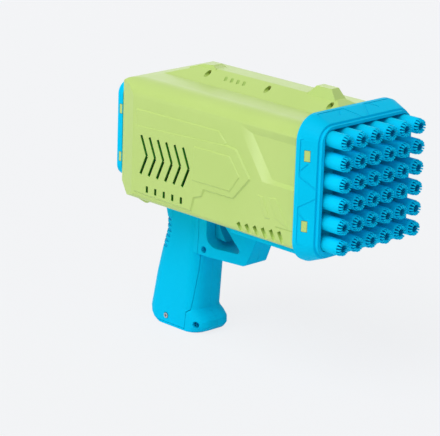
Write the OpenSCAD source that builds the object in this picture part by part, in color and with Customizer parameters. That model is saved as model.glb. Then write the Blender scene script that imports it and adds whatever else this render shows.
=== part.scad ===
// Toy bubble blower: a wide square barrel with a field of nozzles, held by a battery grip.
// Origin at the middle of the grip, +X towards the muzzle, +Z up, right side at -Y.

/* [Barrel] */
// Height of the barrel axis above the middle of the grip
axis_z = 108; // [104:1:114]
// Reach from the middle of the grip to the nozzle tips
muzzle_x = 194; // [189:1:201]
// Length of the body from its rear face to the bezel
body_l = 198; // [192:1:204]
// Width of the body over its side walls
body_w = 107; // [105:0.5:109]
// Height of the flat top above the barrel axis
body_rise = 48.5; // [48:0.5:50]
// Depth of the underside below the barrel axis
body_drop = 49; // [48.5:0.5:51]
// Thickness of the moulded walls
wall = 2.4; // [2:0.1:2.8]
// Radius of the long top shoulders
shoulder_r = 14; // [10:1:18]
// Radius of the long bottom edges
sill_r = 5; // [4:0.5:8]
// Amount by which each side draws in at the tail
tail_in = 4.5; // [3:0.5:5]
// Length over which the sides draw in
tail_l = 20; // [16:1:24]
// Amount by which the top comes down at the tail
tail_drop = 1; // [0.5:0.5:3]
// Depth of the hollow in the side in front of the slanting facet
hollow_d = 2; // [1.2:0.1:2.2]

/* [Spine] */
// Height of the spine above the flat top
spine_h = 9.8; // [9:0.1:13]
// Width of the spine along its top
spine_top_w = 13; // [10:1:16]
// Width of the spine at its foot
spine_foot_w = 46; // [38:1:52]
// Length of the ramp at the rear of the spine
spine_ramp = 47; // [40:1:54]
// Length of the ramp at the front of the spine
spine_nose = 9; // [6:1:12]
// Height of the sighting block on the spine
sight_h = 7.2; // [4:0.1:8]
// Length of the sighting block along its foot
sight_l = 33; // [26:1:40]
// Distance from the bezel back to the sighting block
sight_back = 8; // [6:1:12]

/* [Head] */
// Width of the front bezel
bezel_w = 113; // [112:0.5:115]
// Height of the front bezel
bezel_h = 114; // [112:0.5:116]
// Depth of the sloping bezel skirt
skirt_d = 17; // [15:0.5:20]
// Amount by which each side of the skirt draws in
skirt_in = 5; // [4:0.25:5.5]
// Corner radius of the bezel at its rear edge
bezel_r = 19; // [15:1:22]
// Width of the upright edge band at the rear of the bezel
edge_band = 4; // [3:0.5:5]
// Depth of the square rim in front of the skirt
rim_d = 3; // [2:0.5:5]
// Distance that the nozzles stand out past the rim
nozzle_stand = 18; // [15:0.5:19]

/* [Nozzles] */
// Nozzles along one side of the field
nozzle_n = 6; // [4:1:6]
// Width of the flat rim round the nozzle field
rim_w = 3.1; // [2.6:0.1:4]
// Outside diameter of a nozzle
nozzle_d = 12.2; // [10.5:0.1:12.4]
// Diameter of the hole in a nozzle
nozzle_bore = 4.4; // [4:0.1:5.4]
// Length of a nozzle from its plate to its tip
nozzle_l = 25; // [22:0.5:26]
// Height of the crown at the tip
crown_h = 1.4; // [1:0.1:2.5]
// Thickness of the nozzle plate
plate_t = 2.6; // [2:0.1:3]

/* [Rear cap] */
// Width of the rear cap
cap_w = 96; // [88:1:96]
// Height of the rear cap
cap_h = 78; // [72:1:80]
// Depth of the rear cap
cap_d = 7.5; // [6.5:0.5:9]

/* [Grip] */
// Width of the grip
grip_w = 36; // [35:0.5:38]
// Radius of the grip's long edges
grip_r = 12; // [10:0.5:13]
// Depth of the base below the middle of the grip
base_drop = 54; // [53:0.5:56]
// Width of the trigger guard where it meets the grip
guard_w = 34; // [32:0.5:35]
// Width of the trigger guard at its front
guard_front_w = 16; // [14:0.5:22]
// Depth of the belly plate below the body
belly_t = 3.6; // [3.2:0.2:5]
// Width of the belly plate
belly_w = 97; // [90:1:98]

/* [Trigger] */
// Width of the trigger blade
trigger_w = 14; // [12:0.5:15]
// Travel of the trigger
trigger_travel = 5; // [3:0.5:5]

/* [Fan] */
// Radius of the fan over its blade tips
fan_r = 38; // [34:0.5:40]
// Number of fan blades
fan_blades = 7; // [5:1:9]
// Radius of the motor can
motor_r = 12; // [10:0.5:13]
// Length of the motor can
motor_l = 28; // [24:1:30]
// Radius of the motor shaft
shaft_r = 1; // [0.8:0.1:1.5]

/* [Batteries] */
// Radius of a battery
cell_r = 7.1; // [6.9:0.05:7.2]
// Length of a battery without its button
cell_l = 49.5; // [48:0.5:50]

/* [Screws] */
// Radius of a screw shank
screw_r = 1.3; // [1:0.1:1.5]
// Radius of a screw head
head_r = 2.2; // [2:0.1:2.4]

/* [Fits] */
// Clearance between pieces that fit together
fit = 0.3; // [0.2:0.05:0.4]
// Running clearance of a shaft in its hole
run_fit = 0.05; // [0.02:0.01:0.08]

/* [Hidden] */
$fn = 48;

green = [0.74, 0.85, 0.45];
blue = [0.0, 0.70, 0.90];
dark_blue = [0.0, 0.45, 0.62];
steel = [0.75, 0.75, 0.77];
black = [0.12, 0.12, 0.13];
arc_step = 7.5;
thin = 0.02;
over = 1;
far = 400;

// Places along the barrel
rim_x = muzzle_x - nozzle_stand;
skirt_x = rim_x - rim_d;
bezel_x = skirt_x - skirt_d;
rear_x = bezel_x - body_l;
plate_x = muzzle_x - nozzle_l;
half_w = body_w / 2;
floor_z = axis_z - body_drop;
spine_z = body_rise + spine_h;

// Cross-section of the body: centre and radius of each rounded corner
body_section = [[half_w - sill_r, sill_r - body_drop, sill_r],
  [half_w - shoulder_r, body_rise - shoulder_r, shoulder_r],
  [shoulder_r - half_w, body_rise - shoulder_r, shoulder_r],
  [sill_r - half_w, sill_r - body_drop, sill_r]];

// Front lip of the shells, which the bezel snaps over
front_w = bezel_w - 2 * skirt_in;
front_h = bezel_h - 2 * skirt_in;
lip_w = min(body_w - 5, front_w - 1);
lip_h = min(body_rise + body_drop - 1, front_h - 7.5);
lip_z = (body_rise - body_drop) / 2;
lip_r = 12;
lip_end = plate_x - plate_t - fit;
rim_step = 1.5;
field_gap = 0.55;
opening_w = min(front_w, front_h) - 2 * (rim_step + rim_w);
nozzle_pitch = (opening_w - 2 * field_gap - nozzle_d) / (nozzle_n - 1);
plate_w = opening_w + 2.4;
bezel_z = (body_rise - body_drop) / 2 - 1;
line_w = 0.9;
line_d = 0.35;

// Snap tabs through the bezel and through the rear cap
tab_l = 4.2;
tab_h = 8.2;
tab_from = 7.4;
tab_z = 27;
cap_z = 2.5;
cap_wall = 1.8;
cap_r = 10;
cap_lip_d = 3.4;
cap_tab_l = cap_lip_d - 0.8;
cap_tab_t = 4;
cap_tab_h = 7.5;
cap_tab_z = 19.7;

// Screws across the spine
spine_screw_back = 10;
spine_screw_step = 65.5;
spine_screw_x = [for (k = [0:2]) bezel_x - spine_screw_back - k * spine_screw_step];
spine_screw_z = spine_z - 4;
boss_r = 3.6;
seat_y = 5;
screw_l = 13;
head_h = 2;
hole_r = head_r + 0.15;
grip_hole_r = head_r + 0.6;
pilot_r = screw_r + 0.02;

// Shape of the grip from its top to its base: height, rear and front of each level
grip_levels = [[floor_z - thin, -30, 20.5], [50, -28.4, 20.3], [43, -26.6, 20.1], [36, -24.6, 19.8],
  [27, -24.6, 19.2], [20, -26.8, 18.8], [6, -30.6, 17.9], [-12, -35.2, 16.8], [-34, -39.5, 15.5],
  [-36.3, -40, 16.8],
  [-39, -40.6, 21], [-43, -41.4, 24.7], [-base_drop + 6, -40.7, 24.9], [-base_drop + 2.5, -38.4, 22.3],
  [-base_drop, -34, 17]];
rib_n = 6;
rib_pitch = 4.7;
rib_top = 36.5;
rib_w = 2.2;
rib_d = 1.3;

// Trigger guard and its finger hole: centre and radius of each rounded corner
guard_corners = [[12, 18, 3], [62.5, 19, 4], [80, floor_z - 3, 3], [12, floor_z - 3, 3]];
finger_corners = [[37, 34.5, 11], [56.5, 26.4, 2.5], [35, 50, 3], [29, 50, 3]];
guard_screw = [23.5, 20];
base_screw = [17, -46];
toe_reach = grip_w / 2 - 4;
cover_screw = [-17, -46.5];

// Neck of the grip that passes through the shell floor
neck_x0 = -18.3;
neck_x1 = 16;
neck_w = 26;
neck_flange = 2.5;
neck_hole_w = 17;

// Belly plate and its screws
belly_x0 = 60;
belly_x1 = bezel_x - fit;
belly_floor = 1.4;
belly_screw_x = [86, bezel_x - 12];
belly_screw_y = 30;
belly_post_r = 4.2;
belly_boss_h = 14;

// Battery cover outline
cover_top = 52.5;
cover_base = -base_drop + 2;
cover_split = 9.4;
cover_seat = 1.6 - grip_w / 2;
cover_screw_l = 24;
cover_screw_tip = cover_seat + cover_screw_l;

// Fan, motor and bulkhead
bulk_x = 78;
bulk_t = 3;
duct_l = 24;
duct_gap = 1.2;
hub_r = 8.5;
hub_x0 = bulk_x + 8;
hub_l = 12;
blade_t = 1.4;
blade_pitch = 38;
blade_chord = 17;
cup_t = 2;
motor_x1 = bulk_x + bulk_t;
motor_x0 = motor_x1 - motor_l;
bell_l = 5;
rib_h = min(2.4, sill_r - wall - 0.1);
rib_t = 2;

// Battery compartment
cell_gap = 0.3;
pack_x = -5.5;
tray_z0 = -42;
tray_t = 1.8;
contact_t = 0.4;
spring_h = 4;
button_h = 1.2;
cell_z0 = tray_z0 + tray_t + contact_t + spring_h;
tray_z1 = cell_z0 + cell_l + button_h + contact_t + tray_t + 3 * cell_gap;
cell_step = cell_r + cell_gap / 2;

// Trigger works
trigger_low = 28.6;
trigger_high = 51;
stem_l = 6;
stem_z = 43;
stem_r = 2.4;
slot_run = 16;
slot_l = 56;
trigger_back = 8;
carrier_x = -10;
carrier_t = 4;
carrier_w = grip_w - 2 * (wall + fit);
switch_z = 31.5;

// Leads, by hand-picked points
lead_r = 0.8;
red_route = [[-16.5, 5, tray_z1 + 0.1], [-16.5, 5, tray_z1 + 4], [-16.5, 5, tray_z1 + 9], [-16.5, 5.5, 38],
  [-15.4, 5, 50], [-11.5, 4, 62], [-5, 4, 76], [10, 4.5, 92], [28, 5, axis_z - 3], [35, 5, axis_z],
  [39, 5, axis_z], [motor_x0 - bell_l - 4.1, 5, axis_z]];
black_route = [[carrier_x - carrier_t - 0.1, -4, switch_z], [carrier_x - carrier_t - 0.9, -4, switch_z],
  [carrier_x - carrier_t - 1.7, -4, switch_z], [-17.2, -4.5, switch_z + 2.5], [-17, -5, 42], [-15, -5, 51],
  [-11.5, -4, 62], [-3, -4, 77], [12, -4.5, 92], [28, -5, axis_z - 3], [35, -5, axis_z],
  [39, -5, axis_z], [motor_x0 - bell_l - 4.1, -5, axis_z]];

// Outward angle of the straight edge that joins two rounded corners
function edge_angle(a, b) =
  atan2(b[1] - a[1], b[0] - a[0]) - 90 + asin((a[2] - b[2]) / norm([b[0] - a[0], b[1] - a[1]]));

// Points round a convex outline of rounded corners, listed anticlockwise as centre and radius
function outline(corners, inset = 0) = [
  for (i = [0:len(corners) - 1])
    let (n = len(corners),
         c = corners[i],
         a0 = edge_angle(corners[(i + n - 1) % n], c),
         a1 = edge_angle(c, corners[(i + 1) % n]),
         sweep = (a1 - a0 + 720) % 360,
         r = c[2] - inset,
         steps = max(1, ceil(sweep / arc_step)))
      for (k = [0:steps])
        [c[0] + r * cos(a0 + sweep * k / steps), c[1] + r * sin(a0 + sweep * k / steps)]];

function round_rect(w, h, r, cz = 0) = [
  [w / 2 - r, cz - h / 2 + r, r], [w / 2 - r, cz + h / 2 - r, r],
  [r - w / 2, cz + h / 2 - r, r], [r - w / 2, cz - h / 2 + r, r]];

// Extrusions: the drawing's two axes become Y and Z, or X and Z
module along_x(x0, x1) {
  translate([x0, 0, 0])
    rotate([90, 0, 90])
      linear_extrude(x1 - x0)
        children();
}

module along_y(y0, y1) {
  translate([0, y1, 0])
    rotate([90, 0, 0])
      linear_extrude(y1 - y0)
        children();
}

module rod_x(r, x0, x1) {
  translate([x0, 0, 0])
    rotate([0, 90, 0])
      cylinder(r = r, h = x1 - x0);
}

module rod_y(r, y0, y1) {
  translate([0, y0, 0])
    rotate([-90, 0, 0])
      cylinder(r = r, h = y1 - y0);
}

module half(side) {
  translate([-far, side < 0 ? -far : 0, -far])
    cube([2 * far, far, 2 * far]);
}

// Keeps a drawing made for the right side, or mirrors it to the left
module on_side(side) {
  mirror([0, side < 0 ? 0 : 1, 0])
    children();
}

// Screw with its head at z = 0 and its shank upwards
module screw(l) {
  difference() {
    union() {
      translate([0, 0, -head_h])
        cylinder(r = head_r, h = head_h);
      cylinder(r = screw_r, h = l);
    }
    for (a = [0, 90])
      rotate([0, 0, a])
        translate([-head_r * 0.6, -0.35, -head_h - over])
          cube([head_r * 1.2, 0.7, over + 0.9]);
  }
}

// Outer form of the body, drawn in by an inset
module body_form(inset) {
  side = [[bezel_x + 30, -body_drop, 6], [bezel_x + 30, body_rise, 6],
    [rear_x + tail_l, body_rise - 19.8, 20], [rear_x + 9, body_rise - tail_drop - 9, 9],
    [rear_x + 6, 14.5 - body_drop, 6], [rear_x + 13.5, 6 - body_drop, 6]];
  plan = [[bezel_x + 30, 3 - half_w, 6], [bezel_x + 30, half_w - 3, 6],
    [rear_x + tail_l, half_w - 7.8, 8], [rear_x + 3, half_w - tail_in - 3, 3],
    [rear_x + 3, 3 + tail_in - half_w, 3], [rear_x + tail_l, 7.8 - half_w, 8]];
  translate([0, 0, axis_z])
    intersection() {
      along_x(rear_x - over, bezel_x)
        polygon(outline(body_section, inset));
      along_y(-body_w, body_w)
        polygon(outline(side, inset));
      translate([0, 0, -body_w])
        linear_extrude(2 * body_w)
          polygon(outline(plan, inset));
    }
}

// Raised spine along the top, with a ramp at each end
module spine_form(inset) {
  section = [[spine_foot_w / 2 - 3, body_rise - 4, 3], [spine_top_w / 2 - 3, spine_z - 3, 3],
    [3 - spine_top_w / 2, spine_z - 3, 3], [3 - spine_foot_w / 2, body_rise - 4, 3]];
  profile = [[bezel_x + 12, body_rise - 4, 3], [bezel_x - spine_nose, spine_z - 3, 3],
    [rear_x + spine_ramp, spine_z - 3, 3], [rear_x + 8, body_rise - 6, 3]];
  translate([0, 0, axis_z])
    intersection() {
      along_x(rear_x, bezel_x - inset)
        polygon(outline(section, inset));
      along_y(-spine_foot_w, spine_foot_w)
        polygon(outline(profile, inset));
    }
}

// Sighting block near the front of the spine, drawn in towards its top
module sight_block() {
  x0 = bezel_x - sight_back - sight_l;
  x1 = bezel_x - sight_back;
  top = spine_z + sight_h;
  profile = [[x0, spine_z - 3], [x1, spine_z - 3], [x1 - 1, spine_z - 0.5], [x1 - 7, top], [x0 + 11, top]];
  section = [[-spine_top_w / 2, spine_z - 3], [spine_top_w / 2, spine_z - 3], [spine_top_w / 2 - 2.5, top],
    [2.5 - spine_top_w / 2, top]];
  translate([0, 0, axis_z])
    intersection() {
      along_y(-spine_top_w, spine_top_w)
        polygon(profile);
      along_x(x0 - over, x1 + over)
        polygon(section);
    }
}

// Low hump at the rear end of the spine's top
module spine_hump() {
  top = spine_z + 2.2;
  x1 = rear_x + 61.8;
  profile = [[rear_x + 33, spine_z - 5], [x1, spine_z - 5], [x1, spine_z - 0.3], [x1 - 4.6, top],
    [rear_x + 47, spine_z + 1.2], [rear_x + 33, spine_z - 3.4]];
  section = [[-spine_top_w / 2 - 1, spine_z - 5], [spine_top_w / 2 + 1, spine_z - 5],
    [spine_top_w / 2 - 1.5, top], [1.5 - spine_top_w / 2, top]];
  translate([0, 0, axis_z])
    intersection() {
      along_y(-spine_top_w, spine_top_w)
        polygon(profile);
      along_x(rear_x, x1 + over)
        polygon(section);
    }
}

// Four short slanted slots in each slope of the spine
module spine_slots() {
  for (i = [0:3])
    translate([35.7 + 6.65 * i, -11.1, axis_z + 55])
      rotate([38, 0, 0])
        rotate([0, 0, 21])
          translate([-1.3, -2.5, -1.2])
            cube([2.6, 5, 4]);
}

// Points of a clockwise outline moved inwards
function drawn_in(p, d) = [
  for (i = [0:len(p) - 1])
    let (n = len(p),
         a = unit(p[i] - p[(i + n - 1) % n]),
         b = unit(p[(i + 1) % n] - p[i]),
         u = [a[1], -a[0]],
         v = [b[1], -b[0]])
      p[i] + d * (u + v) / (1 + u * v)];

// Plate raised on the side between two levels, with edges that slope in
module raised_plate(p, foot, top, slope) {
  n = len(p);
  q = drawn_in(p, slope);
  rings = concat([for (c = p) [c[0], over - half_w, c[1]]], [for (c = p) [c[0], -half_w - foot, c[1]]],
    [for (c = q) [c[0], -half_w - top, c[1]]]);
  walls = [for (k = [0:1], i = [0:n - 1])
    let (a = k * n + i, b = k * n + (i + 1) % n)
      [a, b, b + n, a + n]];
  polyhedron(rings, concat(walls, [[for (i = [n - 1:-1:0]) i], [for (i = [0:n - 1]) 2 * n + i]]));
}

// Low relief on the side: stepped panels with sloping edges
module side_relief() {
  strip = [[rear_x + tail_l + 2, 9], [rear_x + tail_l + 2, 26], [72.5, 27], [81.5, 18.8], [78, 9]];
  panel = [[rear_x + tail_l + 1, 13], [80.6, 17.8], [92.3, 16.6], [108.4, -3.8], [90.8, -23.4], [59, -23.8],
    [56.9, -29.6], [48.3, -32.4], [45.5, sill_r - body_drop],
    [rear_x + tail_l + 1, sill_r - body_drop + 1.5]];
  field = [[47, 9.6], [86.4, 10], [97.8, -4.4], [87.8, -18.1], [45.4, -18.5]];
  fins = [[[124, -30.4], [115.8, -13.8], [121.6, -13.8], [130, -30]],
    [[135.8, -28.8], [127.2, -13.4], [135.2, -12.2], [149, -33]]];
  translate([0, 0, axis_z]) {
    raised_plate(strip, 0, 0.6, 0.9);
    raised_plate(panel, 0, 1.1, 1.2);
    raised_plate(field, 1, 1.7, 0.9);
    for (f = fins)
      raised_plate(f, 0, 0.5, 0.7);
  }
}

// Hollow in the front of the side, behind a slanting facet
module front_hollow() {
  foot = [119.5, -2];
  crest = [91, 38.5];
  lean = atan2(crest[1] - foot[1], foot[0] - crest[0]) - 90;
  facet_w = 8.7;
  reach = 150;
  out = 4;
  low_l = 3;
  high_l = 7;
  deep = half_w - hollow_d;
  mirror([0, 1, 0])
    intersection() {
      along_x(crest[0] - 3 * out, bezel_x + over)
        polygon([[deep, foot[1] - 1 + low_l], [half_w + out, foot[1] - 1 - out * low_l / hollow_d],
          [half_w + out, crest[1] + out * high_l / hollow_d], [deep, crest[1] - high_l]]);
      translate([crest[0], 0, crest[1]])
        rotate([0, lean, 0])
          linear_extrude(reach, center = true)
            polygon([[-out * facet_w / hollow_d, half_w + out], [facet_w, deep], [reach, deep],
              [reach, half_w + out]]);
    }
}

// Thicker wall inside, behind the hollow
module hollow_back() {
  along_y(wall / 2 - half_w, wall + hollow_d - half_w)
    polygon([[95.5, 34], [bezel_x - wall / 2, 34], [bezel_x - wall / 2, -4], [122, -4]]);
}

// Shallow heel under the tail, on both sides of the grip
module tail_heel() {
  for (s = [-1, 1])
    on_side(s)
      along_y(5.5 - half_w, -grip_w / 2 - fit)
        polygon([[rear_x + 16, floor_z + wall], [rear_x + 17, floor_z], [rear_x + 28.3, floor_z - 2.4],
          [rear_x + 31, floor_z - 2.2], [rear_x + 35, floor_z], [rear_x + 35, floor_z + wall]]);
}

// Straight groove between two points of the side
module side_groove(a, b, width, depth) {
  run = b - a;
  translate([a[0], 0, a[1]])
    rotate([0, -atan2(run[1], run[0]), 0])
      translate([0, -half_w - 3, -width / 2])
        cube([norm(run), 3 + depth, width]);
}

// Six slanting notches at the front of the lower edge, deepest at their tops
module front_notches() {
  notch_n = 6;
  notch_step = 8.6;
  notch_w = 3.6;
  for (i = [0:notch_n - 1]) {
    top = [96 + i * notch_step, -40.6 + i * 0.6];
    run = [102 + i * notch_step, -47.8] - top;
    translate([top[0], 0, top[1]])
      rotate([0, -atan2(run[1], run[0]), 0])
        translate([0, 0, -notch_w / 2])
          linear_extrude(notch_w)
            polygon([[0, -half_w - 3], [0, 3.2 - half_w], [norm(run), 0.3 - half_w], [norm(run), -half_w - 3]]);
  }
}

// Thicker wall inside, behind the notches
module notch_back() {
  along_y(wall / 2 - half_w, wall + 1.4 - half_w)
    polygon([[92, -36.5], [146, -33.5], [151, -46], [92, -46]]);
}

// Vents that go through the right side, and the grooves that don't
module side_cuts() {
  chevron_n = 6;
  chevron_step = 9.5;
  chevron_x = rear_x + 29.3;
  chevron_reach = 7;
  chevron_z = -10.3;
  chevron_half = 15.9;
  slot_w = 2.6;
  low_slot_n = 5;
  low_slot_x = rear_x + 37.2;
  through = wall + 4;
  vent_t = 0.8;
  translate([0, 0, axis_z]) {
    for (i = [0:chevron_n - 1], s = [-1, 1]) {
      x = chevron_x + i * chevron_step;
      side_groove([x, chevron_z + s * chevron_half], [x + chevron_reach, chevron_z], slot_w, through);
    }
    for (i = [0:low_slot_n - 1])
      side_groove([low_slot_x + i * 9.75, -40.2], [low_slot_x + i * 9.75, -34.8], slot_w, through);
    along_y(vent_t - half_w, wall + over - half_w)
      polygon([[chevron_x - 4, chevron_z + chevron_half + 4], [chevron_x + 58, chevron_z + chevron_half + 4],
        [chevron_x + 58, -42], [chevron_x - 4, -42]]);
    side_groove([135.8, -34.6], [bezel_x - 3, -34.2], 0.7, 0.35);
  }
}

// Front wall, lip and tabs that carry the bezel
module shell_front() {
  translate([0, 0, axis_z]) {
    difference() {
      along_x(bezel_x - wall, lip_end)
        polygon(outline(round_rect(lip_w, lip_h, lip_r, lip_z)));
      along_x(bezel_x - wall - over, lip_end + over)
        polygon(outline(round_rect(lip_w, lip_h, lip_r, lip_z), wall));
    }
    for (s = [-1, 1], z = [-tab_z, tab_z])
      mirror([0, s < 0 ? 0 : 1, 0])
        translate([0, 0, z - tab_h / 2])
          linear_extrude(tab_h)
            polygon([[bezel_x + tab_from, wall / 2 - lip_w / 2], [bezel_x + tab_from, -skirt_hw(tab_from)],
              [bezel_x + tab_from + tab_l, -skirt_hw(tab_from + tab_l)],
              [bezel_x + tab_from + tab_l, wall / 2 - lip_w / 2]]);
  }
}

// Half width of the bezel skirt at a distance from its rear edge
function skirt_hw(d) = bezel_w / 2 - skirt_in * max(0, d - edge_band) / (skirt_d - edge_band);

// Outline of the lip that the rear cap fits over
tail_lip = round_rect(cap_w - 2 * (cap_wall + fit), cap_h - 2 * (cap_wall + fit), cap_r - cap_wall, cap_z);

// Lip and tabs at the tail that carry the rear cap
module shell_tail() {
  translate([0, 0, axis_z]) {
    difference() {
      along_x(rear_x - cap_lip_d, rear_x + wall / 2)
        polygon(outline(tail_lip));
      along_x(rear_x - cap_d, rear_x + wall + over)
        polygon(outline(tail_lip, wall));
    }
    for (s = [-1, 1], z = [-cap_tab_z, cap_tab_z])
      translate([rear_x - cap_lip_d, s > 0 ? cap_w / 2 - cap_tab_t : -cap_w / 2, z - cap_tab_h / 2])
        cube([cap_tab_l, cap_tab_t, cap_tab_h]);
  }
}

module shell_half(side) {
  intersection() {
    difference() {
      union() {
        difference() {
          union() {
            body_form(0);
            spine_form(0);
            sight_block();
            spine_hump();
            on_side(side)
              side_relief();
            tail_heel();
          }
          body_form(wall);
          spine_form(wall);
          translate([0, 0, axis_z]) {
            along_x(bezel_x - wall - 4, bezel_x + over)
              polygon(outline(round_rect(lip_w, lip_h, lip_r, lip_z), wall));
            along_x(rear_x - over, rear_x + wall + over)
              polygon(outline(tail_lip, wall));
          }
          on_side(side)
            side_cuts();
        }
        shell_front();
        shell_tail();
        front_wall();
        bulkhead_ribs();
        spine_bosses();
        floor_bosses();
        translate([0, 0, axis_z])
          on_side(side) {
            hollow_back();
            notch_back();
          }
      }
      translate([0, 0, axis_z])
        on_side(side) {
          front_hollow();
          front_notches();
        }
      on_side(side)
        spine_slots();
      spine_holes(side);
      neck_opening();
      for (x = belly_screw_x, s = [-1, 1])
        translate([x, s * belly_screw_y, floor_z - over])
          cylinder(r = pilot_r, h = over + belly_boss_h - 1.5);
    }
    half(side);
  }
}

module front_wall() {
  translate([0, 0, axis_z])
    along_x(bezel_x - wall, bezel_x - 0.1)
      difference() {
        polygon(outline(body_section, wall / 2));
        polygon(outline(round_rect(lip_w, lip_h, lip_r, lip_z), wall));
      }
}

// Two ribs inside the shells that hold the fan bulkhead
module bulkhead_ribs() {
  translate([0, 0, axis_z])
    for (x = [bulk_x - rib_t - fit, bulk_x + bulk_t + fit])
      along_x(x, x + rib_t)
        difference() {
          polygon(outline(body_section, wall / 2));
          polygon(outline(body_section, wall + rib_h));
        }
}

module spine_bosses() {
  intersection() {
    for (x = spine_screw_x)
      translate([x, 0, axis_z + spine_screw_z])
        rod_y(boss_r, -spine_foot_w, spine_foot_w);
    spine_form(wall / 2);
  }
}

module spine_holes(side) {
  for (x = spine_screw_x)
    translate([x, 0, axis_z + spine_screw_z])
      if (side < 0) {
        rod_y(hole_r, -spine_foot_w, -seat_y);
        rod_y(screw_r + 0.2, -seat_y - over, over);
      } else {
        rod_y(pilot_r, -over, screw_l - seat_y + 0.6);
      }
}

module floor_bosses() {
  for (x = belly_screw_x, s = [-1, 1])
    translate([x, s * belly_screw_y, floor_z])
      cylinder(r = belly_post_r, h = belly_boss_h);
}

module neck_opening() {
  translate([neck_x0 - fit, -neck_w / 2 - fit, floor_z - over])
    cube([neck_x1 - neck_x0 + 2 * fit, neck_w + 2 * fit, wall + 2 * over]);
}

module right_shell() {
  color(green)
    shell_half(-1);
}

module left_shell() {
  color(green)
    shell_half(1);
}

module shell_screws() {
  color(steel)
    for (x = spine_screw_x)
      translate([x, -seat_y, axis_z + spine_screw_z])
        rotate([-90, 0, 0])
          screw(screw_l);
}

module front_bezel() {
  rear = round_rect(bezel_w, bezel_h, bezel_r, bezel_z);
  front = round_rect(front_w, front_h, bezel_r - skirt_in, bezel_z);
  color(blue)
    translate([0, 0, axis_z])
      difference() {
        union() {
          along_x(bezel_x, bezel_x + edge_band)
            polygon(outline(rear));
          hull() {
            along_x(bezel_x + edge_band - thin, bezel_x + edge_band)
              polygon(outline(rear));
            along_x(skirt_x - thin, skirt_x)
              polygon(outline(front));
          }
          along_x(skirt_x - over, rim_x)
            polygon(outline(front, rim_step));
        }
        skirt_lines();
        along_x(bezel_x - over, lip_end + fit)
          polygon(outline(round_rect(lip_w, lip_h, lip_r, lip_z), -fit));
        along_x(bezel_x, plate_x)
          polygon(outline(round_rect(plate_w + 2 * fit, plate_w + 2 * fit, 8)));
        along_x(plate_x - over, rim_x + over)
          polygon(outline(round_rect(opening_w, opening_w, 6.9)));
        for (s = [-1, 1], z = [-tab_z, tab_z])
          translate([bezel_x + tab_from - fit, s > 0 ? lip_w / 2 - 3 : -bezel_w, z - tab_h / 2 - fit])
            cube([tab_l + 2 * fit, bezel_w - lip_w / 2 + 3, tab_h + 2 * fit]);
      }
}

// Engraved lines on the four sloping faces of the skirt
module skirt_lines() {
  slope_l = norm([skirt_d - edge_band, skirt_in]);
  slope = atan2(skirt_in, skirt_d - edge_band);
  for (k = [0:3]) {
    reach = (k % 2 == 0 ? bezel_w : bezel_h) / 2;
    along = (k % 2 == 0 ? bezel_h : bezel_w) / 114;
    translate([bezel_x + edge_band, 0, bezel_z])
      rotate([90 * k, 0, 0])
        translate([0, -reach, 0])
          rotate([0, 0, slope])
            for (s = [-1, 1]) {
              skirt_line([0, s * 39.5 * along], [slope_l, s * 45.5 * along]);
              skirt_line([0, s * 12.2 * along], [slope_l, s * 3.7 * along]);
              skirt_line([0, s * 15.2 * along], [slope_l / 2, s * 22 * along]);
              skirt_line([0.5, s * 12.2 * along], [0.5, s * 39.5 * along]);
            }
  }
}

module skirt_line(a, b) {
  run = b - a;
  translate([a[0], 0, a[1]])
    rotate([0, -atan2(run[1], run[0]), 0])
      translate([0, -over, -line_w / 2])
        cube([norm(run), over + line_d, line_w]);
}

// Places of the nozzle centres
module at_nozzles() {
  first = -(nozzle_n - 1) / 2 * nozzle_pitch;
  for (i = [0:nozzle_n - 1], j = [0:nozzle_n - 1])
    translate([0, first + i * nozzle_pitch, axis_z + first + j * nozzle_pitch])
      children();
}

module nozzle_plate() {
  shoulder = 0.7;
  crown_r = nozzle_d / 2 - shoulder;
  profile = [[0, 0], [nozzle_d / 2, 0], [nozzle_d / 2, nozzle_l - crown_h - shoulder],
    [nozzle_d / 2 - 0.2, nozzle_l - crown_h - 0.2], [crown_r, nozzle_l - crown_h], [crown_r - 0.4, nozzle_l],
    [0, nozzle_l]];
  color(blue)
    difference() {
      union() {
        translate([0, 0, axis_z])
          along_x(plate_x - plate_t, plate_x)
            polygon(outline(round_rect(plate_w, plate_w, 8)));
        at_nozzles()
          translate([plate_x - thin, 0, 0])
            rotate([0, 90, 0])
              rotate_extrude()
                polygon(profile);
      }
      at_nozzles()
        rod_x(nozzle_bore / 2, plate_x - plate_t - over, muzzle_x + over);
    }
}

module rear_cap() {
  face = round_rect(cap_w, cap_h, cap_r, cap_z);
  color(blue)
    translate([0, 0, axis_z])
      difference() {
        union() {
          along_x(rear_x - cap_d + 2, rear_x - fit / 2)
            polygon(outline(face));
          hull() {
            along_x(rear_x - cap_d + 2 - thin, rear_x - cap_d + 2)
              polygon(outline(face));
            along_x(rear_x - cap_d, rear_x - cap_d + thin)
              polygon(outline(face, 2));
          }
        }
        along_x(rear_x - cap_lip_d - fit, rear_x + over)
          polygon(outline(face, cap_wall));
        along_x(rear_x - cap_d - over, rear_x - cap_d + 0.8)
          polygon(outline(face, 8));
        for (s = [-1, 1], z = [-cap_tab_z, cap_tab_z])
          translate([rear_x - cap_lip_d - fit, s > 0 ? cap_w / 2 - cap_tab_t : -cap_w / 2 - over, z])
            translate([0, 0, -cap_tab_h / 2 - fit])
              cube([cap_tab_l + 2 * fit, cap_tab_t + over, cap_tab_h + 2 * fit]);
      }
}

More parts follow.
